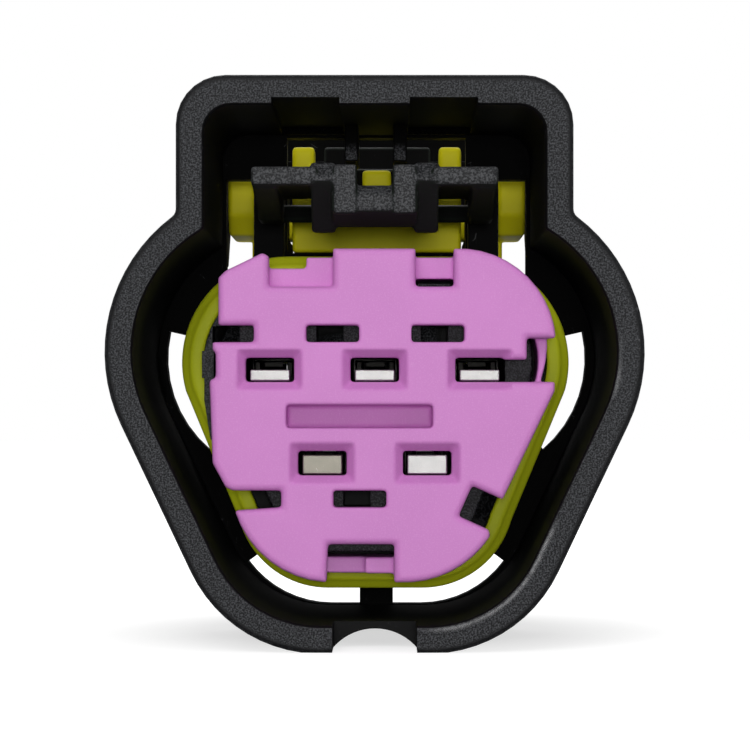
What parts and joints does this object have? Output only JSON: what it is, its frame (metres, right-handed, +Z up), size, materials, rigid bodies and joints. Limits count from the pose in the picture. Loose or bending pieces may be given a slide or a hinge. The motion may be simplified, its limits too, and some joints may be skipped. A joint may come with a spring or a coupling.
{
  "type": "waterproof wiring connector",
  "caption": "Sealed socket-side wiring connector with a keyed shroud, sliding terminal lock, sprung latch lever and sliding position lock.",
  "frame": {"origin": "middle of the underside: half way along the length and across the width, at the height of the two feet that the shroud rests on", "axes": "+Z up towards the latch, -Y out of the mating face, +Y towards the cables, +X to the right for someone facing the mating face"},
  "size_m": [0.0338, 0.044, 0.0362],
  "materials": {
    "black_moulding": "fine matte grain",
    "black_latch_moulding": "satin",
    "orchid_moulding": "satin, faintly speckled",
    "yellow_moulding": "satin",
    "olive_silicone": "smooth, slightly glossy",
    "tinned_sheet": "bright tin plating",
    "spring_steel": "bright stainless sheet"
  },
  "bodies": {
    "housing": {"connector_housing": "black_moulding", "perimeter_seal": "olive_silicone", "cable_seal_1": "olive_silicone", "cable_seal_2": "olive_silicone", "cable_seal_3": "olive_silicone", "cable_seal_4": "olive_silicone", "cable_seal_5": "olive_silicone", "contact_1": "tinned_sheet", "contact_2": "tinned_sheet", "contact_3": "tinned_sheet", "contact_4": "tinned_sheet", "contact_5": "tinned_sheet", "spring_hood_1": "spring_steel", "spring_hood_2": "spring_steel", "spring_hood_3": "spring_steel", "spring_hood_4": "spring_steel", "spring_hood_5": "spring_steel"},
    "latch": {"latch_lever": "black_latch_moulding"},
    "terminal_retainer": {"terminal_lock": "orchid_moulding"},
    "position_retainer": {"position_lock": "yellow_moulding"}
  },
  "joints": [
    {"name": "latch_flex", "type": "hinge", "parent": "housing", "child": "latch", "pos_m": [0, -0.002, 0.0287], "axis": [-1, 0, 0], "range_deg": [0, 6], "stiffness_Nm_per_rad": 0.05, "springref_deg": -2.86},
    {"name": "terminal_lock_slide", "type": "slide", "parent": "housing", "child": "terminal_retainer", "axis": [0, -1, 0], "range_m": [0, 0.0016]},
    {"name": "position_lock_slide", "type": "slide", "parent": "housing", "child": "position_retainer", "axis": [0, -1, 0], "range_m": [0, 0.0036]}
  ]
}
